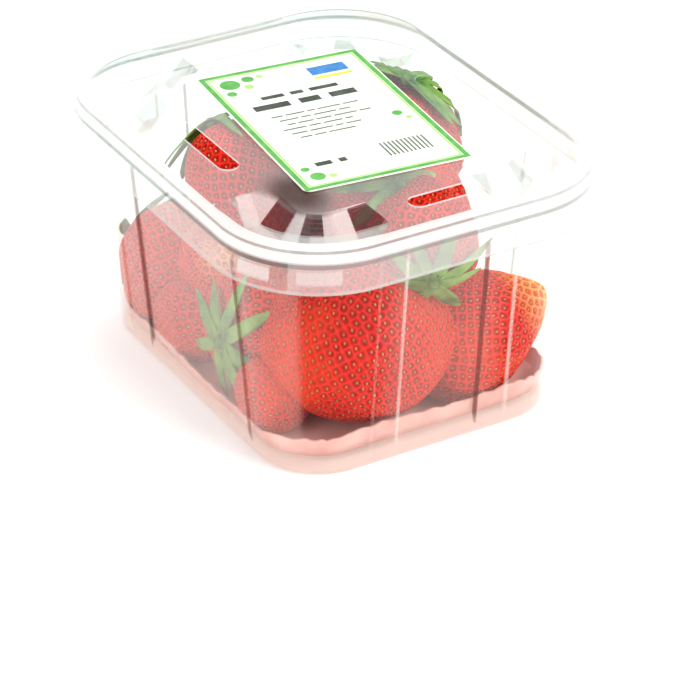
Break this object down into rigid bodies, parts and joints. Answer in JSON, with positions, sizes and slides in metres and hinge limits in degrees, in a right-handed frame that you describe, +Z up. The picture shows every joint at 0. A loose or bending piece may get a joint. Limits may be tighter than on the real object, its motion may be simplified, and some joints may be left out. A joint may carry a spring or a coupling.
{
  "type": "punnet of strawberries",
  "caption": "Clear tapered punnet with rounded corners, shut by a press-on lid with vent slots and a paper label, holding whole strawberries on a soft pad.",
  "frame": {"origin": "middle of the foot, on the surface the pack stands on", "axes": "+Z up out of the lid, +Y along the pack's long side towards the label's upper edge, +X across it along the label's lines"},
  "size_m": [0.1014, 0.1242, 0.0664],
  "materials": {
    "film": "clear gloss thermoformed plastic",
    "label_paper": "satin printed paper",
    "pad_sheet": "soft thin absorbent sheet",
    "berry_skin": "glossy dimpled fruit skin",
    "berry_leaf": "soft green calyx leaf"
  },
  "bodies": {
    "root": {"tray": "film", "lid": "film", "label": "label_paper", "pad": "pad_sheet", "berries": "berry_skin"}
  },
  "joints": []
}
